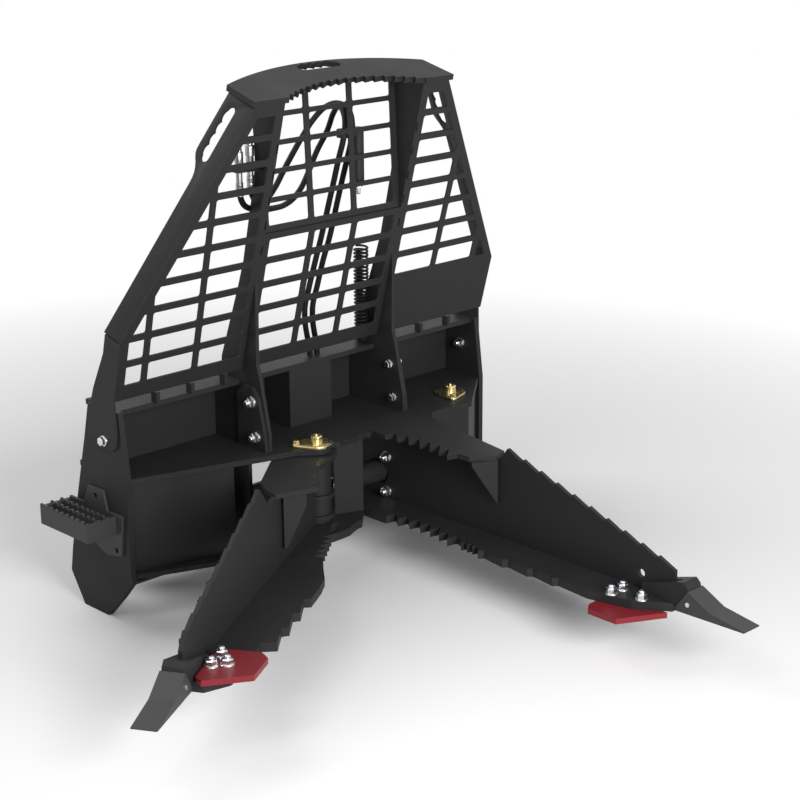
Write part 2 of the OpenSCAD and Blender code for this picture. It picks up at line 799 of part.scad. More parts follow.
module guard_top_plate() {
    back_r = (382 * 382 + 84 * 84) / (2 * 84);
    front_r = (274 * 274 + 75 * 75) / (2 * 75);
    half = asin(274 / front_r);
    teeth = 17;
    color("dimgray") on_guard() translate([0, guard_rise, 0]) rotate([-90, 0, 0])
        linear_extrude(top_t) difference() {
            intersection() {
                polygon([[-389, -5], [389, -5], [382, 128], [318, 225], [-318, 225], [-382, 128]]);
                translate([0, 211 - back_r]) circle(back_r);
            }
            polygon(concat([[-274, -10]],
                [for (i = [0:teeth - 1])
                    let (a = -half + 2 * half * i / teeth, b = a + 2 * half / teeth)
                    each [[(front_r - 13) * sin(a), 75 - front_r + (front_r - 13) * cos(a)],
                          [front_r * sin(b), 75 - front_r + front_r * cos(b)]]],
                [[274, -10]]));
            translate([2, 176]) {
                square([122, 38], center = true);
                for (x = [-61, 61]) translate([x, 0]) circle(19);
                for (x = [-45:30:45]) translate([x, 13]) circle(14);
            }
        }
}

module flange() {
    on_guard() translate([guard_x, 0, 0]) rotate([0, 0, edge_angle]) rotate([-90, 0, 0])
        linear_extrude(sheet_t) difference() {
            polygon([[0, sheet_t], [edge_len, sheet_t], [edge_len, flange_top_d], [0, flange_low_d]]);
            translate([edge_len - 118, 78]) {
                square([124, 30], center = true);
                for (x = [-62, 62]) translate([x, 0]) circle(15);
                for (x = [-48:32:48]) translate([x, -10]) circle(13);
            }
        }
}

module guard_flange_left() {
    color("dimgray") mirror([1, 0, 0]) flange();
}

module guard_flange_right() {
    color("dimgray") flange();
}

module skirt() {
    lean = atan((guard_x - half_w - side_t - sheet_t) / (elbow[2] - 164));
    shift = [elbow[1], elbow[2]];
    translate([guard_x, elbow[1], elbow[2]]) rotate([0, lean, 0]) translate([-sheet_t, 0, 0])
        rotate([90, 0, 90]) linear_extrude(sheet_t) difference() {
            polygon([for (p = [at_slope(-3.5, sheet_t), at_slope(guard_low, sheet_t), [-240, 212],
                [-232, 176], [-214, 164], [-105, 164], [-97, 175], [-121, 287], [-142, 341],
                [-203, 455], at_slope(-3.5, flange_low_d)]) p - shift]);
            translate(skirt_bolt - shift) circle(d = bolt_d + 2.5);
        }
}

module guard_skirt_left() {
    color("dimgray") mirror([1, 0, 0]) skirt();
}

module guard_skirt_right() {
    color("dimgray") skirt();
}

// Boarding step on the left side plate
module step() {
    wall = 8;
    color("black") mirror([1, 0, 0]) translate([half_w + side_t, 0, 0]) {
        rotate([90, 0, 90]) linear_extrude(wall) difference() {
            polygon([[-245, -28], [-234, -154], [-160, -167], [20, -95], [15, -28], [-58, -28], [-84, 31],
                     [-157, 31], [-172, -28]]);
            translate([-118, 6]) circle(d = bolt_d + 1);
            translate([-211, -140]) circle(d = bolt_d);
        }
        for (x = [30, 64, 100]) translate([x, 0, 0]) rotate([90, 0, 90]) linear_extrude(wall) difference() {
            translate([-215, -91]) square([235, 62]);
            for (y = [-202:26:6]) translate([y, -27]) circle(9);
        }
        for (y = [-215, 12]) translate([wall, y, -91]) cube([92, wall, 56]);
    }
}

deck_plate();
rear_wall();
shelf_plate();
shelf_tabs();
centre_plate();
side_plate_left();
side_plate_right();
cross_plate();
left_panel();
left_ledge();
right_panel();
cylinder_lug();
coupler_plate();
coupler_hook();
coupler_foot();
coupler_gussets();
floor_gussets();
fixed_jaw_plate();
fixed_jaw_web();
fixed_jaw_gusset();
vertex_plate();
fixed_blade();
fixed_blade_bolts();
fixed_tooth_shank();
fixed_tooth();
fixed_tooth_pin();
pivot_pin();
base_pin();
frame_bolts();
moving_jaw_plate();
moving_top_plate();
moving_jaw_web();
moving_jaw_gusset();
hub_tube();
lever_plates();
rod_pin();
moving_blade();
moving_blade_bolts();
moving_tooth_shank();
moving_tooth();
moving_tooth_pin();
cylinder_barrel();
cylinder_rod();
guard_wing_left();
guard_wing_right();
guard_centre();
recess_panel();
guard_rib_left();
guard_rib_right();
guard_top_plate();
guard_flange_left();
guard_flange_right();
guard_skirt_left();
guard_skirt_right();
rib_brackets();
step();
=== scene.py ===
"""Tree puller for a skid-steer loader: finishes, hoses, bolts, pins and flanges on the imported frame.

Metres, +Z up, origin at the coupler's seat, jaws along -Y. The camera, floor and lamps are given in
metres, and the object's own places and sizes in millimetres.
"""

import json
import math

import bmesh
import bpy
from mathutils import Matrix, Vector


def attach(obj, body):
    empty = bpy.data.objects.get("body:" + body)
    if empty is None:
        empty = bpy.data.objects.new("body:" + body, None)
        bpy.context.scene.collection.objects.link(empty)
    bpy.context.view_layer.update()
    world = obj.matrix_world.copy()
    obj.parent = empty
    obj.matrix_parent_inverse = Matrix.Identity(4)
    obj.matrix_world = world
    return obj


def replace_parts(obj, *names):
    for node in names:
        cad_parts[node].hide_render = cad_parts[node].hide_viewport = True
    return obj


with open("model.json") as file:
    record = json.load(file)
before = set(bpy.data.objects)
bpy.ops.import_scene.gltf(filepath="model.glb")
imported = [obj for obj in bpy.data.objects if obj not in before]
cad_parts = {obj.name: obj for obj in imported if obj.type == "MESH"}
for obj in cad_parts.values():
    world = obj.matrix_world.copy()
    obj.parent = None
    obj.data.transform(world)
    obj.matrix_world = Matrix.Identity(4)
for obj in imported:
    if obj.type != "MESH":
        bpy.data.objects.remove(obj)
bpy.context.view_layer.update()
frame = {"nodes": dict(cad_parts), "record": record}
MM = 0.001

# Camera: where it stands, which way it looks, and its lens
CAMERA_AT = Vector((-3.702, -4.477, 1.934))
CAMERA_TURN = math.radians(-45.157)
CAMERA_DROP = math.radians(17.558)
CAMERA_SHIFT = -0.0501
LENS = 85.08
SENSOR = 36.0

# Floor: its height and width, its tone to the camera and to other light, and where it turns plain white
FLOOR_Z = -0.369
FLOOR_SIZE = 30.0
FLOOR_TONE = 1.12
FLOOR_BOUNCE = 0.9
FADE_FROM = 1.1
FADE_TO = 3.4

# Light: the world's strength on the object and to the camera, and lamps as (name, place, size, watts)
WORLD_LIGHT, WORLD_SEEN = 0.2, 1.0
LAMPS = (
    ("behind_above", (-1.5, 2.5, 4.0), 3.0, 80.0),
    ("front", (-1.6, -5.8, 1.9), 2.5, 330.0),
    ("left_high", (-3.8, -1.6, 4.2), 2.0, 30.0),
)
LAMPS_AIM = Vector((0, -0.4, 0.2))

# Edges that turn more than this show as sharp
SHARP_FROM = math.radians(35)

# Hoses: from the cylinder's two ports up through the centre box and the shelf, over the clamp behind the
# recessed panel, and down to the couplers parked at the left rib
HOSE_D = 18.0
HOSE_NEAR = [
    (70, -319, -52), (70, -311, -21), (67, -291, 2), (61, -262, 13), (54, -233, 24), (46, -213, 47),
    (41, -206, 80), (39, -198, 125), (37, -188, 205), (38, -184, 285), (13, -192, 435), (26, -202, 514),
    (41, -214, 590), (53, -228, 660), (63, -258, 777), (68, -280, 857), (70, -297, 915), (76, -310, 966),
    (86, -310, 1012), (103, -286, 1046), (124, -241, 1058), (142, -196, 1031), (142, -167, 975),
    (106, -158, 915), (62, -166, 855), (6, -186, 808), (-65, -212, 785), (-140, -240, 786),
    (-210, -264, 796), (-276, -292, 813), (-327, -322, 844), (-350, -340, 887), (-349, -340, 895)]
HOSE_FAR = [
    (434, -330, -52), (429, -323, -17), (413, -301, 12), (384, -264, 23), (330, -222, 20),
    (260, -206, 14), (196, -203, 12), (132, -200, 12), (96, -196, 22), (70, -193, 48), (60, -190, 84),
    (58, -187, 130), (62, -185, 205), (67, -184, 285), (45, -192, 435), (60, -202, 514), (73, -214, 587),
    (88, -228, 657), (98, -258, 778), (103, -280, 858), (104, -298, 912), (108, -312, 968),
    (112, -313, 1018), (119, -291, 1053), (119, -250, 1069), (104, -209, 1058), (75, -186, 1024), (28, -182, 972),
    (-19, -186, 922), (-68, -198, 876), (-114, -218, 843), (-169, -244, 820), (-228, -276, 824),
    (-278, -308, 856), (-297, -326, 898), (-297, -326, 906)]

# Hose ends, each a turned shape of (place along it, radius) that starts where its hose ends
FERRULE = [(-30, 10.0), (-29, 11.4), (-24, 11.4), (-23, 10.8), (-19, 10.8), (-18, 11.4), (-13, 11.4),
           (-12, 10.8), (-8, 10.8), (-7, 11.4), (-1, 11.4), (0, 10.0)]
COUPLER = [(0, 8.0), (1, 11.0), (10, 11.0), (11, 9.4), (38, 9.4), (39, 11.6), (62, 11.6), (63, 10.4),
           (66, 10.4), (67, 13.2), (96, 13.2), (98, 12.2), (99, 10.0), (106, 10.0), (108, 9.0)]

# Hanger: a post on a foot plate, a clamp of two blocks beside it, and the plate that holds the couplers
POST_AT, POST_D, POST_CHAMFER = (134, -312), 38.0, 2
POST_LOW, POST_TOP = 840, 1003
FOOT_OUTLINE, FOOT_T = [(-22, -26), (22, -26), (22, 16), (14, 22), (-14, 22), (-22, 16)], 6
CLAMP_AT = (95, -311, 991)
BLOCK_OUTLINE, BLOCK_T, BLOCK_GAP, BLOCK_EDGE = [(-32, -16), (34, -16), (34, 16), (-32, 16)], 13, 1, 2.5
PARK_OUTLINE = [(-283, -366), (-283, -322), (-276, -306), (-318, -306), (-330, -316), (-370, -316),
                (-370, -358), (-330, -366)]
PARK_Z, PARK_T = 936, 5
HANGER_NUT = [(0, 15), (2, 15), (3, 13), (13, 13), (14.5, 11.5)]
HANGER_STUD, STUD_FROM = [(0, 7.5), (16, 7.5), (20, 5.5)], 20
CLAMP_SCREW = [(0, 8), (5, 8), (7, 5.5)]

# Spring that stands on the shelf, and the eye at its foot
SPRING_LOW, SPRING_TOP = (254, -190, 296), (254, -190, 598)
SPRING_D, SPRING_WIRE, SPRING_PITCH = 50.0, 7.5, 11.5
POINTS_PER_TURN = 14
EYE_R, EYE_UP = 12, 4

# Guard: elbow, edge line and sheet, as the frame has them
ELBOW_X, ELBOW_Y, ELBOW_Z = 750.0, -290.0, 500.0
GUARD_TOP_X, GUARD_RISE, GUARD_LEAN = 377.0, 657.5, math.radians(14.8)
SHEET_T = 6.4

# Side flange of the guard, as (up the edge, back from the sheet), and its hand hold with finger bumps
FLANGE_EDGE = [(0, 6.4), (755.5, 6.4), (755.5, 119), (640, 119.5), (586, 119.5), (572, 118.5),
               (562, 115.5), (551, 108), (540, 98), (527, 89), (513, 82.5), (498, 79), (480, 78), (0, 78)]
HOLD_FROM, HOLD_TO, HOLD_FRONT, HOLD_BACK = 566.0, 708.0, 60.0, 89.0
HOLD_BUMP, HOLD_BUMPS, BUMP_FULLNESS, BUMP_STEPS = 7.0, 4, 0.8, 48

# Plates that the fasteners hold, as the frame has them: thicknesses, levels, and the open jaw's turn
JAW_T, BLADE_T, WEB_T, PLATE_T, SIDE_T = 25.4, 16.0, 12.7, 12.0, 18.0
LOW_TOP, SWING_TOP, DECK_Z, DECK_UNDER = -180.6, -153.6, 84.0, 68.0
PIVOT, BASE, OPEN_TURN = (-140.0, -408.0), (512.0, -332.0), math.radians(58.7)

# Bolts: sizes, and their places on the fixed blade, on the moving jaw's own plan, on the fixed web, and
# on each side of the frame
BOLT_D, NUT_SIZE, HEAD_GRIP = 16.0, 19.0, 0.5
FIXED_BLADE_BOLTS = ((148, -1374), (103, -1370), (131, -1456))
MOVING_BLADE_BOLTS = ((58, 1019), (52, 1080), (89, 1062))
WEB_BOLT_AT, WEB_BOLT_LEVELS = (191.4, -368), (-44, -160)
SKIRT_BOLT_AT, SKIRT_GAP = (719, -176, 188), 1
RIB_BOLT_X, RIB_BOLTS = 295, ((-297, 230), (-313, 123))

# Pins as (node, centre, low end, way its flag points in degrees, reach to the flag's bolt), and what
# they share
PINS = (("pivot_pin", PIVOT, -220.0, 150, 62.0),
        ("base_pin", BASE, -157.0, -127, 64.0))
PIN_D, PIN_HEAD, PIN_EDGE, PIN_TIP = 38.0, 22, 3, 4
FLAG_T, FLAG_R, FLAG_TIP_R, FLAG_EDGE = 10.0, 50.0, 15.0, 1.5
NIPPLE = [(0, 6), (2, 6), (2.5, 3), (4, 3), (4.6, 2)]
FLAG_BOLT = [(0, 11), (2, 11), (2.5, 10), (9, 10), (10.5, 8.5)]

# Upright plates inside the frame, from the low cross plates up to the deck
RETURN_OUTLINE = [(-419, -190), (-407, -190), (-407, -30), (-419, -30)]
CHEEK_OUTLINE = [(-352, -346), (-340, -346), (-340, -190), (-352, -190)]


def camera():
    data = bpy.data.cameras.new("camera")
    data.lens = LENS
    data.sensor_width = SENSOR
    data.shift_x = CAMERA_SHIFT
    data.clip_end = 100
    eye = bpy.data.objects.new("camera", data)
    eye.location = CAMERA_AT
    eye.rotation_euler = (math.pi / 2 - CAMERA_DROP, 0, CAMERA_TURN)
    bpy.context.scene.collection.objects.link(eye)
    bpy.context.scene.camera = eye


# Node groups that several finishes share, and the finishes


def new_group(name, inputs, outputs):
    group = bpy.data.node_groups.new(name, "ShaderNodeTree")
    for label, kind, value in inputs:
        group.interface.new_socket(label, in_out="INPUT", socket_type=kind).default_value = value
    for label, kind in outputs:
        group.interface.new_socket(label, in_out="OUTPUT", socket_type=kind)
    return group, group.nodes.new("NodeGroupInput"), group.nodes.new("NodeGroupOutput")


def add(tree, kind, **settings):
    node = tree.nodes.new(kind)
    for key, value in settings.items():
        setattr(node, key, value)
    return node


def noise(tree, where, scale, detail=3.0, rough=0.5):
    node = add(tree, "ShaderNodeTexNoise")
    tree.links.new(where, node.inputs["Vector"])
    if isinstance(scale, float):
        node.inputs["Scale"].default_value = scale
    else:
        tree.links.new(scale, node.inputs["Scale"])
    node.inputs["Detail"].default_value = detail
    node.inputs["Roughness"].default_value = rough
    return node.outputs["Fac"]


def span(tree, value, low, high, out_low, out_high):
    node = add(tree, "ShaderNodeMapRange")
    tree.links.new(value, node.inputs["Value"])
    limits = {"From Min": low, "From Max": high, "To Min": out_low, "To Max": out_high}
    for label, number in limits.items():
        node.inputs[label].default_value = number
    return node.outputs["Result"]


def coat_group():
    """Sprayed coat: orange peel, cloudy gloss and a little dust on the faces that look up."""
    group, given, out = new_group(
        "sprayed_coat",
        [("Peel Scale", "NodeSocketFloat", 420.0), ("Gloss", "NodeSocketFloat", 0.4),
         ("Dust", "NodeSocketFloat", 0.15), ("Paint", "NodeSocketColor", (0.02, 0.02, 0.02, 1)),
         ("Dust Colour", "NodeSocketColor", (0.16, 0.155, 0.15, 1))],
        [("Color", "NodeSocketColor"), ("Roughness", "NodeSocketFloat"), ("Height", "NodeSocketFloat")])
    links = group.links
    place = add(group, "ShaderNodeTexCoord").outputs["Object"]
    peel = noise(group, place, given.outputs["Peel Scale"], 2.0)
    clouds = noise(group, place, 5.0, 5.0, 0.6)
    specks = noise(group, place, 900.0, 1.0)
    facing = add(group, "ShaderNodeNewGeometry")
    split = add(group, "ShaderNodeSeparateXYZ")
    links.new(facing.outputs["Normal"], split.inputs[0])
    upward = span(group, split.outputs["Z"], 0.3, 1.0, 0.0, 1.0)
    patchy = span(group, clouds, 0.35, 0.7, 0.2, 1.0)
    dusty = add(group, "ShaderNodeMath", operation="MULTIPLY")
    links.new(upward, dusty.inputs[0])
    links.new(patchy, dusty.inputs[1])
    amount = add(group, "ShaderNodeMath", operation="MULTIPLY", use_clamp=True)
    links.new(dusty.outputs[0], amount.inputs[0])
    links.new(given.outputs["Dust"], amount.inputs[1])
    tint = add(group, "ShaderNodeMix", data_type="RGBA")
    links.new(amount.outputs[0], tint.inputs[0])
    links.new(given.outputs["Paint"], tint.inputs[6])
    links.new(given.outputs["Dust Colour"], tint.inputs[7])
    tone = span(group, specks, 0.3, 0.7, 0.92, 1.08)
    toned = add(group, "ShaderNodeVectorMath", operation="SCALE")
    links.new(tint.outputs[2], toned.inputs[0])
    links.new(tone, toned.inputs["Scale"])
    links.new(toned.outputs[0], out.inputs["Color"])
    gloss = add(group, "ShaderNodeMath", operation="ADD")
    links.new(span(group, clouds, 0.3, 0.7, -0.05, 0.07), gloss.inputs[0])
    links.new(given.outputs["Gloss"], gloss.inputs[1])
    links.new(gloss.outputs[0], out.inputs["Roughness"])
    links.new(peel, out.inputs["Height"])
    return group


def plating_group():
    """Zinc plate: fine crystal mottle with small changes of tone and gloss."""
    group, given, out = new_group(
        "plating",
        [("Light", "NodeSocketColor", (0.8, 0.8, 0.8, 1)),
         ("Dark", "NodeSocketColor", (0.6, 0.6, 0.6, 1)),
         ("Gloss", "NodeSocketFloat", 0.25), ("Grain Scale", "NodeSocketFloat", 260.0)],
        [("Color", "NodeSocketColor"), ("Roughness", "NodeSocketFloat"), ("Height", "NodeSocketFloat")])
    links = group.links
    place = add(group, "ShaderNodeTexCoord").outputs["Object"]
    grain = noise(group, place, given.outputs["Grain Scale"], 4.0, 0.65)
    tint = add(group, "ShaderNodeMix", data_type="RGBA")
    links.new(span(group, grain, 0.35, 0.65, 0.0, 1.0), tint.inputs[0])
    links.new(given.outputs["Light"], tint.inputs[6])
    links.new(given.outputs["Dark"], tint.inputs[7])
    links.new(tint.outputs[2], out.inputs["Color"])
    gloss = add(group, "ShaderNodeMath", operation="ADD")
    links.new(span(group, grain, 0.3, 0.7, -0.06, 0.08), gloss.inputs[0])
    links.new(given.outputs["Gloss"], gloss.inputs[1])
    links.new(gloss.outputs[0], out.inputs["Roughness"])
    links.new(grain, out.inputs["Height"])
    return group


COAT = coat_group()
PLATING = plating_group()


def finish_of(name, group, values, bump, bump_depth, edge=0.0, **shader):
    """A material: one shared group feeding one shader, with a softened edge where edge is a radius."""
    material = bpy.data.materials.new(name)
    material.use_nodes = True
    tree = material.node_tree
    bsdf = tree.nodes["Principled BSDF"]
    for label, value in shader.items():
        bsdf.inputs[label.replace("_", " ")].default_value = value
    source = add(tree, "ShaderNodeGroup", node_tree=group)
    for label, value in values.items():
        source.inputs[label].default_value = value
    tree.links.new(source.outputs["Color"], bsdf.inputs["Base Color"])
    tree.links.new(source.outputs["Roughness"], bsdf.inputs["Roughness"])
    relief = add(tree, "ShaderNodeBump")
    relief.inputs["Strength"].default_value = bump
    relief.inputs["Distance"].default_value = bump_depth
    tree.links.new(source.outputs["Height"], relief.inputs["Height"])
    if edge:
        soft = add(tree, "ShaderNodeBevel", samples=4)
        soft.inputs["Radius"].default_value = edge
        tree.links.new(soft.outputs["Normal"], relief.inputs["Normal"])
    tree.links.new(relief.outputs["Normal"], bsdf.inputs["Normal"])
    return material


def finishes():
    return {
        "frame_paint": finish_of(
            "satin_black_powder_coat", COAT,
            {"Peel Scale": 420.0, "Gloss": 0.5, "Dust": 0.03, "Paint": (0.0195, 0.0195, 0.02, 1)},
            0.12, 0.4 * MM, edge=1.2 * MM, Specular_IOR_Level=0.18),
        "tooth_paint": finish_of(
            "black_paint_on_casting", COAT,
            {"Peel Scale": 160.0, "Gloss": 0.46, "Dust": 0.04, "Paint": (0.04, 0.04, 0.041, 1)},
            0.3, 0.6 * MM, edge=2.2 * MM, Specular_IOR_Level=0.3),
        "blade_red": finish_of(
            "satin_red_paint", COAT,
            {"Peel Scale": 380.0, "Gloss": 0.4, "Dust": 0.05, "Paint": (0.20, 0.012, 0.018, 1),
             "Dust Colour": (0.3, 0.08, 0.08, 1)},
            0.12, 0.4 * MM, edge=1.2 * MM, Specular_IOR_Level=0.35),
        "zinc": finish_of(
            "bright_zinc", PLATING,
            {"Light": (0.85, 0.86, 0.88, 1), "Dark": (0.62, 0.63, 0.66, 1), "Gloss": 0.24},
            0.1, 0.1 * MM, edge=0.6 * MM, Metallic=1.0),
        "dull_zinc": finish_of(
            "dull_zinc", PLATING,
            {"Light": (0.42, 0.42, 0.43, 1), "Dark": (0.30, 0.30, 0.31, 1), "Gloss": 0.38},
            0.1, 0.1 * MM, edge=0.6 * MM, Metallic=1.0),
        "yellow_zinc": finish_of(
            "yellow_zinc", PLATING,
            {"Light": (0.80, 0.68, 0.36, 1), "Dark": (0.62, 0.52, 0.26, 1), "Gloss": 0.26,
             "Grain Scale": 120.0},
            0.1, 0.1 * MM, edge=0.8 * MM, Metallic=1.0),
        "chrome_rod": finish_of(
            "hard_chrome", PLATING,
            {"Light": (0.82, 0.82, 0.84, 1), "Dark": (0.74, 0.74, 0.77, 1), "Gloss": 0.1},
            0.03, 0.05 * MM, Metallic=1.0),
        "hose_rubber": finish_of(
            "hose_rubber", COAT,
            {"Peel Scale": 700.0, "Gloss": 0.55, "Dust": 0.02, "Paint": (0.006, 0.006, 0.0065, 1)},
            0.3, 0.3 * MM, Specular_IOR_Level=0.2),
    }


# Studio


def seen_rays(tree):
    """1 for what the camera sees directly or in a reflection."""
    look = add(tree, "ShaderNodeLightPath")
    seen = add(tree, "ShaderNodeMath", operation="MAXIMUM")
    tree.links.new(look.outputs["Is Camera Ray"], seen.inputs[0])
    tree.links.new(look.outputs["Is Glossy Ray"], seen.inputs[1])
    return look, seen.outputs[0]


def floor():
    """A pale floor that keeps the object's shadow and turns plain white further out."""
    bpy.ops.mesh.primitive_plane_add(size=FLOOR_SIZE, location=(0, 0, FLOOR_Z))
    ground = bpy.context.object
    ground.name = "floor"
    material = bpy.data.materials.new("studio_floor")
    material.use_nodes = True
    tree = material.node_tree
    tree.nodes.remove(tree.nodes["Principled BSDF"])
    look, seen = seen_rays(tree)
    tone = add(tree, "ShaderNodeMix", data_type="RGBA")
    tree.links.new(look.outputs["Is Camera Ray"], tone.inputs[0])
    tone.inputs[6].default_value = (FLOOR_BOUNCE, FLOOR_BOUNCE, FLOOR_BOUNCE, 1)
    tone.inputs[7].default_value = (FLOOR_TONE, FLOOR_TONE, FLOOR_TONE, 1)
    matte = add(tree, "ShaderNodeBsdfDiffuse")
    tree.links.new(tone.outputs[2], matte.inputs["Color"])
    place = add(tree, "ShaderNodeTexCoord").outputs["Object"]
    far = add(tree, "ShaderNodeVectorMath", operation="LENGTH")
    tree.links.new(place, far.inputs[0])
    fade = span(tree, far.outputs["Value"], FADE_FROM, FADE_TO, 0.0, 1.0)
    white = add(tree, "ShaderNodeEmission")
    white.inputs["Strength"].default_value = 1.0
    amount = add(tree, "ShaderNodeMath", operation="MULTIPLY", use_clamp=True)
    tree.links.new(fade, amount.inputs[0])
    tree.links.new(seen, amount.inputs[1])
    mixed = add(tree, "ShaderNodeMixShader")
    tree.links.new(amount.outputs[0], mixed.inputs[0])
    tree.links.new(matte.outputs[0], mixed.inputs[1])
    tree.links.new(white.outputs[0], mixed.inputs[2])
    tree.links.new(mixed.outputs[0], tree.nodes["Material Output"].inputs["Surface"])
    ground.data.materials.append(material)


def light():
    """A world that shows white and lights softly, and three large lamps."""
    world = bpy.data.worlds.new("studio")
    bpy.context.scene.world = world
    world.use_nodes = True
    tree = world.node_tree
    glow = tree.nodes["Background"]
    glow.inputs["Color"].default_value = (1, 1, 1, 1)
    _, seen = seen_rays(tree)
    tree.links.new(span(tree, seen, 0.0, 1.0, WORLD_LIGHT, WORLD_SEEN), glow.inputs["Strength"])

    for name, place, size, power in LAMPS:
        data = bpy.data.lights.new(name, "AREA")
        data.size = size
        data.energy = power
        lamp = bpy.data.objects.new(name, data)
        lamp.location = place
        lamp.rotation_euler = (LAMPS_AIM - lamp.location).to_track_quat("-Z", "Y").to_euler()
        bpy.context.scene.collection.objects.link(lamp)
    bpy.context.scene.view_settings.view_transform = "Standard"


# Meshes


def finished(name, mesh, body, material):
    """Links a mesh whose points are already in place, and lets it ride on a body."""
    piece = bpy.data.objects.new(name, mesh)
    bpy.context.scene.collection.objects.link(piece)
    mesh.materials.clear()
    mesh.materials.append(material)
    mesh.polygons.foreach_set("use_smooth", [True] * len(mesh.polygons))
    mesh.set_sharp_from_angle(angle=SHARP_FROM)
    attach(piece, body)
    return piece


def as_mesh(name, source):
    """The plain mesh of a curve or of a modified object, and the object itself is removed."""
    bpy.context.view_layer.update()
    shown = source.evaluated_get(bpy.context.evaluated_depsgraph_get())
    mesh = bpy.data.meshes.new_from_object(shown)
    mesh.name = name
    bpy.data.objects.remove(source)
    return mesh


def arc(centre, radius, first, last, steps):
    """Points of an arc between two angles in degrees."""
    angles = [math.radians(first + (last - first) * k / steps) for k in range(steps + 1)]
    return [(centre[0] + radius * math.cos(a), centre[1] + radius * math.sin(a)) for a in angles]


def tube_mesh(name, points, radius, sides=12, closed=False, steps=8):
    """A round tube through points."""
    path = bpy.data.curves.new(name, "CURVE")
    path.dimensions = "3D"
    path.bevel_depth = radius * MM
    path.bevel_resolution = sides // 4
    path.resolution_u = steps
    path.use_fill_caps = True
    line = path.splines.new("BEZIER")
    line.bezier_points.add(len(points) - 1)
    for knot, point in zip(line.bezier_points, points):
        knot.co = Vector(point) * MM
        knot.handle_left_type = knot.handle_right_type = "AUTO"
    line.use_cyclic_u = closed
    carrier = bpy.data.objects.new(name, path)
    bpy.context.scene.collection.objects.link(carrier)
    return as_mesh(name, carrier)


def turned(name, profile, foot, axis=(0, 0, 1), sides=24):
    """A solid of revolution on an axis: its profile is (distance along the axis, radius)."""
    build = bmesh.new()
    turn = Vector((0, 0, 1)).rotation_difference(Vector(axis)).to_matrix()
    rings = []
    for along, radius in profile:
        circle = arc((0, 0), radius, 0, 360, sides)[:-1]
        points = [Vector(foot) + turn @ Vector((x, y, along)) for x, y in circle]
        rings.append([build.verts.new(point * MM) for point in points])
    for low, high in zip(rings, rings[1:]):
        for k in range(sides):
            build.faces.new((low[k], low[(k + 1) % sides], high[(k + 1) % sides], high[k]))
    build.faces.new(rings[0][::-1])
    build.faces.new(rings[-1])
    bmesh.ops.recalc_face_normals(build, faces=build.faces)
    mesh = bpy.data.meshes.new(name)
    build.to_mesh(mesh)
    build.free()
    return mesh


def flat_plate(name, outline, thickness, place, bevel=1.2):
    """A plate from an outline in its own plane, set in its place, with softened edges."""
    build = bmesh.new()
    face = build.faces.new([build.verts.new((x, y, 0)) for x, y in outline])
    grown = bmesh.ops.extrude_face_region(build, geom=[face])
    up = [v for v in grown["geom"] if isinstance(v, bmesh.types.BMVert)]
    bmesh.ops.translate(build, verts=up, vec=(0, 0, thickness))
    bmesh.ops.recalc_face_normals(build, faces=build.faces)
    bmesh.ops.bevel(build, geom=build.edges[:], offset=bevel, segments=2, affect="EDGES", profile=0.5)
    bmesh.ops.transform(build, matrix=Matrix.Scale(MM, 4) @ place, verts=build.verts)
    mesh = bpy.data.meshes.new(name)
    build.to_mesh(mesh)
    build.free()
    return mesh


def joined(name, meshes):
    build = bmesh.new()
    for mesh in meshes:
        build.from_mesh(mesh)
    whole = bpy.data.meshes.new(name)
    build.to_mesh(whole)
    build.free()
    return whole


# Hydraulic lines


def spring_path():
    low, top = Vector(SPRING_LOW), Vector(SPRING_TOP)
    reach = top - low
    turns = reach.length / SPRING_PITCH
    radius = (SPRING_D - SPRING_WIRE) / 2
    count = int(turns * POINTS_PER_TURN)
    circles = arc((0, 0), radius, 0, 360 * turns, count)
    return [low + reach * k / count + Vector((x, y, 0)) for k, (x, y) in enumerate(circles)]


def hoses(paints):
    """Two hoses, the ferrules at their ports, and the couplers that they end in."""
    metal = []
    for name, route in (("hose_near", HOSE_NEAR), ("hose_far", HOSE_FAR)):
        mesh = tube_mesh(name, route, HOSE_D / 2, sides=16, steps=6)
        finished(name, mesh, "frame", paints["hose_rubber"])
        metal += [turned("coupler", COUPLER, route[-1]), turned("ferrule", FERRULE, route[-1]),
                  turned("port_ferrule", FERRULE, route[0], axis=(0, 0, -1))]
    finished("hose_fittings", joined("hose_fittings", metal), "frame", paints["dull_zinc"])


def hanger(paints):
    """What carries the hoses behind the guard, with its nut, stud and clamp screw."""
    x, y = POST_AT
    height, end_r = POST_TOP - POST_LOW, POST_D / 2 - POST_CHAMFER
    post = turned("post", [(0, end_r), (POST_CHAMFER, POST_D / 2), (height - POST_CHAMFER, POST_D / 2),
                           (height, end_r)], (x, y, POST_LOW), sides=40)
    clamp_side, clamp_depth, clamp_z = CLAMP_AT
    clamp_reach = BLOCK_T + BLOCK_GAP / 2
    blocks = [flat_plate("block", BLOCK_OUTLINE, BLOCK_T,
                         Matrix.Translation((clamp_side, clamp_depth, clamp_z + low)), bevel=BLOCK_EDGE)
              for low in (-clamp_reach, BLOCK_GAP / 2)]
    foot = flat_plate("foot", FOOT_OUTLINE, FOOT_T, Matrix.Translation((x, y, POST_LOW - FOOT_T)))
    park = flat_plate("park", PARK_OUTLINE, PARK_T, Matrix.Translation((0, 0, PARK_Z)))
    finished("hose_hanger", joined("hose_hanger", [post, foot, park] + blocks), "frame",
             paints["frame_paint"])
    nuts = [turned("nut", HANGER_NUT, (x, y, POST_LOW - FOOT_T), axis=(0, 0, -1), sides=6),
            turned("stud", HANGER_STUD, (x, y, POST_LOW - STUD_FROM), axis=(0, 0, -1)),
            turned("screw", CLAMP_SCREW, (clamp_side, clamp_depth, clamp_z + clamp_reach))]
    finished("hanger_nuts", joined("hanger_nuts", nuts), "frame", paints["zinc"])


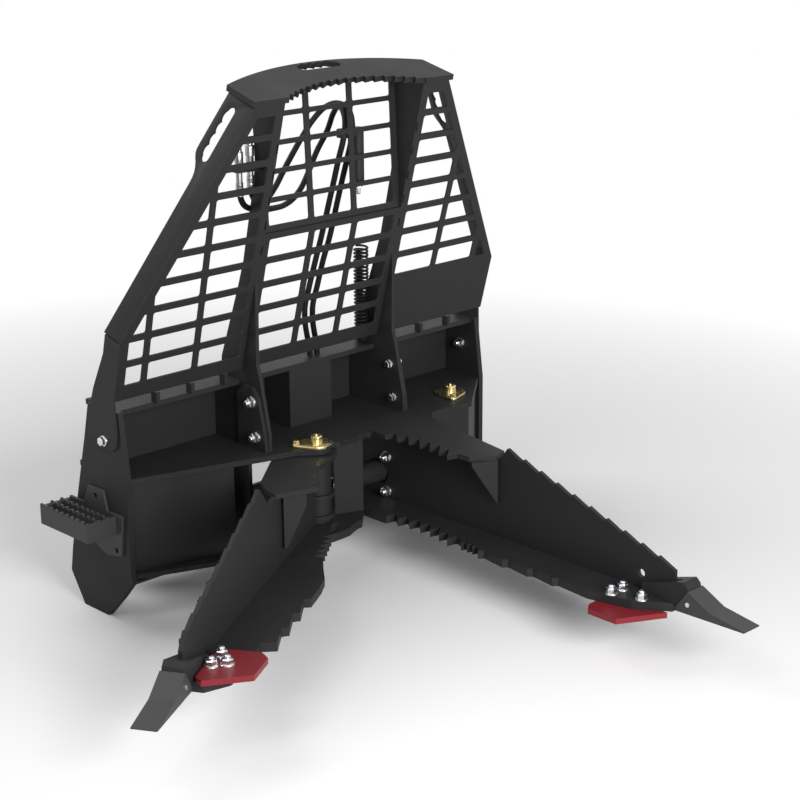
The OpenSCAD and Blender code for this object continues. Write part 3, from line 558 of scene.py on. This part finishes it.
def spring(paints):
    coil = tube_mesh("spring", spring_path(), SPRING_WIRE / 2, sides=8, steps=1)
    x, y, z = SPRING_LOW
    ring = [(across, y, up) for across, up in arc((x, z + EYE_UP), EYE_R, 0, 360, 12)[:-1]]
    low_eye = tube_mesh("eye", ring, SPRING_WIRE / 2, closed=True)
    finished("hose_spring", joined("hose_spring", [coil, low_eye]), "frame", paints["hose_rubber"])


# Guard flanges


def cut_plate(name, outline, hole, thickness, place, bevel=0.8):
    """A flat plate with a hole, its edges softened, laid from the plane of its outline to one side."""
    path = bpy.data.curves.new(name, "CURVE")
    path.dimensions = "2D"
    path.fill_mode = "BOTH"
    path.extrude = abs(thickness) / 2 - bevel
    path.bevel_depth = bevel
    path.bevel_resolution = 1
    path.offset = -bevel
    for loop in (outline, hole):
        line = path.splines.new("POLY")
        line.points.add(len(loop) - 1)
        for knot, (along, back) in zip(line.points, loop):
            knot.co = (along, back, 0, 1)
        line.use_cyclic_u = True
    carrier = bpy.data.objects.new(name, path)
    bpy.context.scene.collection.objects.link(carrier)
    mesh = as_mesh(name, carrier)
    build = bmesh.new()
    build.from_mesh(mesh)
    bmesh.ops.remove_doubles(build, verts=build.verts, dist=0.01)
    middle = Matrix.Translation((0, 0, thickness / 2))
    bmesh.ops.transform(build, matrix=Matrix.Scale(MM, 4) @ place @ middle, verts=build.verts)
    bmesh.ops.recalc_face_normals(build, faces=build.faces)
    build.to_mesh(mesh)
    build.free()
    return mesh


def hand_hold():
    """A slot with round ends, straight toward the sheet, with bumps for the fingers on its rear side."""
    middle, radius = (HOLD_FRONT + HOLD_BACK) / 2, (HOLD_BACK - HOLD_FRONT) / 2
    loop = arc((HOLD_FROM, middle), radius, 90, 270, 12) + arc((HOLD_TO, middle), radius, -90, 90, 12)
    for k in range(1, BUMP_STEPS):
        share = k / BUMP_STEPS
        bump = abs(math.sin(HOLD_BUMPS * math.pi * share)) ** BUMP_FULLNESS
        loop.append((HOLD_TO + (HOLD_FROM - HOLD_TO) * share, HOLD_BACK + HOLD_BUMP * bump))
    return loop


def flanges(paints):
    length = math.hypot(GUARD_RISE, ELBOW_X - GUARD_TOP_X)
    over, up = (ELBOW_X - GUARD_TOP_X) / length, GUARD_RISE / length
    for side, name in ((-1, "left"), (1, "right")):
        along = Vector((-side * over, -math.sin(GUARD_LEAN) * up, math.cos(GUARD_LEAN) * up))
        back = Vector((0, math.cos(GUARD_LEAN), math.sin(GUARD_LEAN)))
        place = Matrix.Translation((side * ELBOW_X, ELBOW_Y, ELBOW_Z)) @ Matrix(
            (along, back, along.cross(back))).transposed().to_4x4()
        mesh = cut_plate("flange_" + name, FLANGE_EDGE, hand_hold(), side * SHEET_T, place)
        piece = finished("flange_" + name, mesh, "frame", paints["frame_paint"])
        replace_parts(piece, "guard_flange_" + name)


# Bolts and pins


def bolt_tree():
    """Geometry Nodes: a flange nut with a domed stud, or a hex head, and a shank, on every point."""
    tree = bpy.data.node_groups.new("flange_bolts", "GeometryNodeTree")
    face = tree.interface
    face.new_socket("Geometry", in_out="INPUT", socket_type="NodeSocketGeometry")
    for label, kind in (("Nut Size", "NodeSocketFloat"), ("Shank Diameter", "NodeSocketFloat"),
                        ("Stud", "NodeSocketBool"), ("Finish", "NodeSocketMaterial")):
        face.new_socket(label, in_out="INPUT", socket_type=kind)
    face.new_socket("Geometry", in_out="OUTPUT", socket_type="NodeSocketGeometry")
    given, out = tree.nodes.new("NodeGroupInput"), tree.nodes.new("NodeGroupOutput")
    links = tree.links

    def disc(sides, radius, low, high, top=None):
        """One turned step of a bolt, in nut sizes or shank diameters."""
        step = add(tree, "GeometryNodeMeshCone")
        step.inputs["Vertices"].default_value = sides
        step.inputs["Radius Bottom"].default_value = radius
        step.inputs["Radius Top"].default_value = radius if top is None else top
        step.inputs["Depth"].default_value = high - low
        moved = add(tree, "GeometryNodeTransform")
        links.new(step.outputs["Mesh"], moved.inputs["Geometry"])
        moved.inputs["Translation"].default_value = (0, 0, low)
        return moved.outputs["Geometry"]

    def gathered(pieces):
        join = add(tree, "GeometryNodeJoinGeometry")
        for piece in pieces:
            links.new(piece, join.inputs[0])
        return join.outputs[0]

    def attribute(label, kind):
        node = add(tree, "GeometryNodeInputNamedAttribute", data_type=kind)
        node.inputs["Name"].default_value = label
        return node.outputs["Attribute"]

    body = gathered([disc(28, 1.02, 0.0, 0.16, 0.98), disc(6, 0.87, 0.1, 0.78),
                     disc(6, 0.87, 0.78, 0.9, 0.74)])
    stud = gathered([disc(20, 0.5, 0.85, 1.2), disc(20, 0.5, 1.2, 1.32, 0.42),
                     disc(20, 0.42, 1.32, 1.4, 0.22)])
    switch = add(tree, "GeometryNodeSwitch", input_type="GEOMETRY")
    links.new(given.outputs["Stud"], switch.inputs["Switch"])
    links.new(stud, switch.inputs["True"])
    turn = add(tree, "FunctionNodeAlignRotationToVector", axis="Z")
    links.new(attribute("aim", "FLOAT_VECTOR"), turn.inputs["Vector"])

    def set_on_points(shape, scale):
        node = add(tree, "GeometryNodeInstanceOnPoints")
        links.new(given.outputs["Geometry"], node.inputs["Points"])
        links.new(shape, node.inputs["Instance"])
        links.new(turn.outputs["Rotation"], node.inputs["Rotation"])
        links.new(scale, node.inputs["Scale"])
        return node.outputs["Instances"]

    shank = add(tree, "ShaderNodeCombineXYZ")
    for axis in "XY":
        links.new(given.outputs["Shank Diameter"], shank.inputs[axis])
    links.new(attribute("grip", "FLOAT"), shank.inputs["Z"])
    nut = gathered([body, switch.outputs["Output"]])
    shown = gathered([set_on_points(nut, given.outputs["Nut Size"]),
                      set_on_points(disc(20, 0.5, -1.0, 0.0), shank.outputs["Vector"])])
    real = add(tree, "GeometryNodeRealizeInstances")
    links.new(shown, real.inputs["Geometry"])
    coat = add(tree, "GeometryNodeSetMaterial")
    links.new(real.outputs["Geometry"], coat.inputs["Geometry"])
    links.new(given.outputs["Finish"], coat.inputs["Material"])
    links.new(coat.outputs["Geometry"], out.inputs["Geometry"])
    return tree


def bolts_mesh(tree, name, places, size, stud, material):
    """Bolts on points, each with the way it looks and its grip, as one plain mesh."""
    cloud = bpy.data.meshes.new(name)
    cloud.from_pydata([Vector(point) * MM for point, _, _ in places], [], [])
    aim = cloud.attributes.new("aim", "FLOAT_VECTOR", "POINT")
    aim.data.foreach_set("vector", [value for _, way, _ in places for value in way])
    grip = cloud.attributes.new("grip", "FLOAT", "POINT")
    grip.data.foreach_set("value", [length * MM for _, _, length in places])
    carrier = bpy.data.objects.new(name, cloud)
    bpy.context.scene.collection.objects.link(carrier)
    modifier = carrier.modifiers.new("bolts", "NODES")
    modifier.node_group = tree
    sockets = {item.name: item.identifier for item in tree.interface.items_tree if item.in_out == "INPUT"}
    modifier[sockets["Nut Size"]] = size * MM
    modifier[sockets["Shank Diameter"]] = BOLT_D * MM
    modifier[sockets["Stud"]] = stud
    modifier[sockets["Finish"]] = material
    return as_mesh(name, carrier)


def bolt_set(tree, name, places, body, node, material):
    """Nuts on one side and heads on the other. The nuts' shanks go through the plates between them."""
    heads = [(Vector(point) - Vector(way) * grip, Vector(way) * -1, HEAD_GRIP)
             for point, way, grip in places]
    mesh = joined(name, [bolts_mesh(tree, name, places, NUT_SIZE, True, material),
                         bolts_mesh(tree, name, heads, BOLT_D, False, material)])
    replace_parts(finished(name, mesh, body, material), node)


def on_jaw(across, back):
    """A place on the moving jaw's own plan, turned to where the jaw stands open."""
    turn = Matrix.Rotation(-OPEN_TURN, 2)
    return Vector(PIVOT) + turn @ Vector((across, -back))


def bolts(paints):
    tree, zinc = bolt_tree(), paints["zinc"]
    up, grip = (0, 0, 1), JAW_T + BLADE_T
    fixed = [((x, y, LOW_TOP), up, grip) for x, y in FIXED_BLADE_BOLTS]
    bolt_set(tree, "blade_bolts_fixed", fixed, "frame", "fixed_blade_bolts", zinc)
    moving = [((*on_jaw(x, y), SWING_TOP + BLADE_T), up, grip) for x, y in MOVING_BLADE_BOLTS]
    bolt_set(tree, "blade_bolts_moving", moving, "moving_jaw", "moving_blade_bolts", zinc)
    places = [((*WEB_BOLT_AT, z), (-1, 0, 0), WEB_T) for z in WEB_BOLT_LEVELS]
    x, y, z = SKIRT_BOLT_AT
    for side in (-1, 1):
        places.append(((side * x, y, z), (-side, 0, 0), SIDE_T + SHEET_T + SKIRT_GAP))
        places += [((side * RIB_BOLT_X, back, level), (side, 0, 0), 2 * PLATE_T)
                   for back, level in RIB_BOLTS]
    bolt_set(tree, "bolts_frame", places, "frame", "frame_bolts", zinc)


def teardrop(way, reach):
    """A round flag whose sides run straight to a small round tip. Angles in degrees."""
    side = math.degrees(math.acos((FLAG_R - FLAG_TIP_R) / reach))
    tip = (reach * math.cos(math.radians(way)), reach * math.sin(math.radians(way)))
    outline = arc((0, 0), FLAG_R, way + side, way + 360 - side, 32)
    return outline + arc(tip, FLAG_TIP_R, way - side, way + side, 10), tip


def pins(paints):
    """Pins with a chamfered head and a grease fitting, each on a teardrop flag with its bolt."""
    heads = []
    for name, (x, y), low, way, reach in PINS:
        outline, tip = teardrop(way, reach)
        flag = flat_plate("flag", outline, FLAG_T, Matrix.Translation((x, y, DECK_Z)), bevel=FLAG_EDGE)
        top, radius = DECK_Z + FLAG_T + PIN_HEAD, PIN_D / 2
        length = top - low
        pin = turned("pin", [(0, radius - PIN_TIP), (PIN_TIP, radius), (length - PIN_EDGE, radius),
                             (length, radius - PIN_EDGE)], (x, y, low), sides=48)
        nipple = turned("nipple", NIPPLE, (x, y, top), sides=16)
        piece = finished(name + "_flagged", joined(name, [flag, pin, nipple]), "frame",
                         paints["yellow_zinc"])
        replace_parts(piece, name)
        heads.append(turned("head", FLAG_BOLT, (x + tip[0], y + tip[1], DECK_Z + FLAG_T), sides=6))
    finished("flag_bolts", joined("flag_bolts", heads), "frame", paints["yellow_zinc"])


def return_plates(paints):
    """Two upright plates beside the left panel, where no light comes through the frame."""
    plates = [flat_plate(name, outline, DECK_UNDER - LOW_TOP, Matrix.Translation((0, 0, LOW_TOP)))
              for name, outline in (("return", RETURN_OUTLINE), ("cheek", CHEEK_OUTLINE))]
    finished("panel_return", joined("panel_return", plates), "frame",
             paints["frame_paint"])


def dress_frame(paints):
    """Every CAD node takes the finish of its slot in the record."""
    for part in frame["record"]["subparts"]:
        node = frame["nodes"][part["node"]]
        node.data.materials.clear()
        node.data.materials.append(paints[part["material_slot"]])


camera()
paints = finishes()
floor()
light()
dress_frame(paints)
hoses(paints)
hanger(paints)
spring(paints)
flanges(paints)
bolts(paints)
pins(paints)
return_plates(paints)
